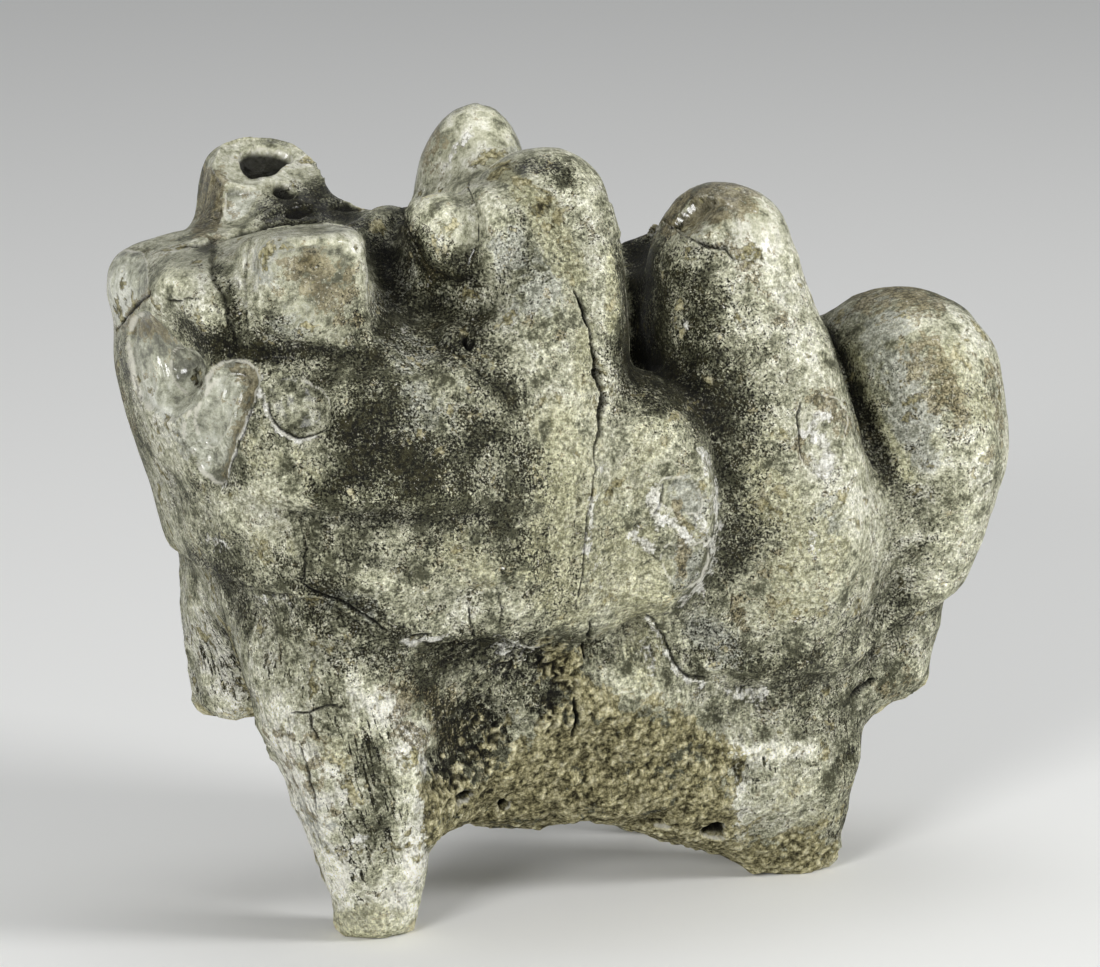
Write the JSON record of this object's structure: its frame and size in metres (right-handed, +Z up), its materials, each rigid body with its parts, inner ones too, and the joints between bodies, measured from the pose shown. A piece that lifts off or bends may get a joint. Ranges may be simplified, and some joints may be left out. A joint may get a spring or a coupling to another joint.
{
  "type": "fossil mastodon molar",
  "caption": "Mastodon third molar turned to stone, with high worn cusp ridges, broken roots and sand cemented between the roots.",
  "frame": {"origin": "on the surface that the root tips stand on, under the middle of the tooth", "axes": "+X from the worn front end to the back end of the tooth, +Y from the side in the picture to the far side, +Z up to the chewing face"},
  "size_m": [0.1654, 0.0838, 0.1423],
  "materials": {
    "fossil_tooth": "matte with glossy cusps"
  },
  "bodies": {
    "root": {"molar": "fossil_tooth"}
  },
  "joints": []
}
